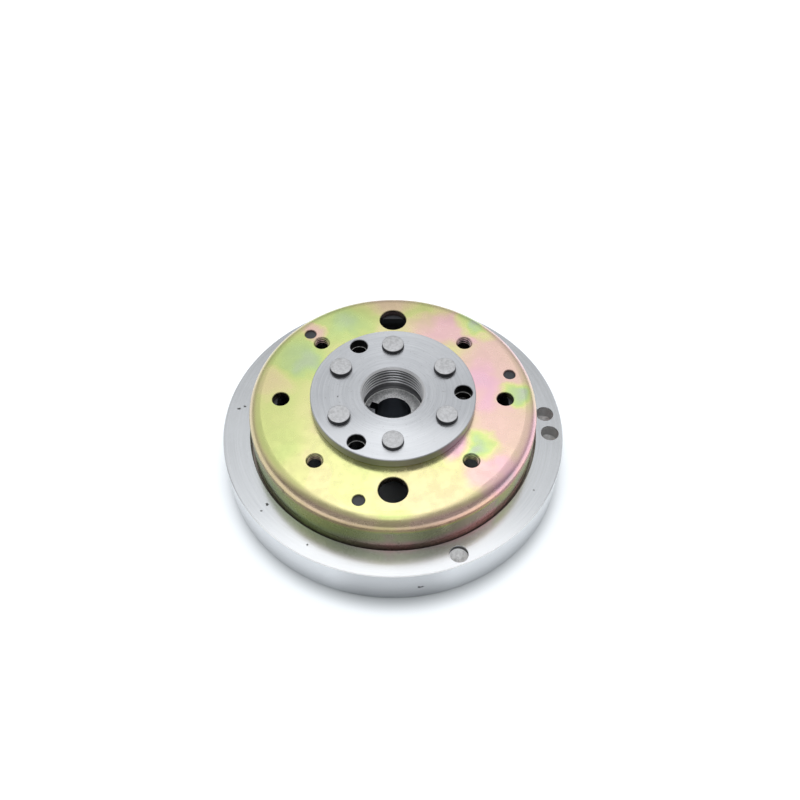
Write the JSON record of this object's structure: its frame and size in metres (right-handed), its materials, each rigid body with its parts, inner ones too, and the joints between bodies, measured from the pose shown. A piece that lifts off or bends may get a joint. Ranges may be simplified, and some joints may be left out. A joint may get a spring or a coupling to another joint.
{
  "type": "flywheel",
  "caption": "Magneto flywheel: a drawn steel cup with magnets inside, riveted to a tapered hub with a puller thread, and a heavy inertia ring round its rim.",
  "frame": {"origin": "centre of the inertia ring's flat face, the one that the flywheel stands on", "axes": "+Z along the crank axis towards the hub's face and the puller thread, +X through one of the three plain holes in the hub's flange"},
  "size_m": [0.13, 0.13, 0.038],
  "materials": {
    "turned_steel": "turned, satin",
    "plated_steel": "yellow passivated zinc, iridescent",
    "hub_steel": "fine turned, satin",
    "rivet_steel": "pressed, slightly mottled",
    "ferrite": "ground ceramic, dark grey",
    "cage_plastic": "moulded, matt dark grey"
  },
  "bodies": {
    "root": {"inertia_ring": "turned_steel", "rotor_cup": "plated_steel", "hub": "hub_steel", "hub_rivet_1": "rivet_steel", "hub_rivet_2": "rivet_steel", "hub_rivet_3": "rivet_steel", "hub_rivet_4": "rivet_steel", "hub_rivet_5": "rivet_steel", "hub_rivet_6": "rivet_steel", "magnet_1": "ferrite", "magnet_2": "ferrite", "magnet_3": "ferrite", "magnet_4": "ferrite", "magnet_5": "ferrite", "magnet_6": "ferrite", "magnet_7": "ferrite", "magnet_8": "ferrite", "magnet_cage": "cage_plastic"}
  },
  "joints": []
}
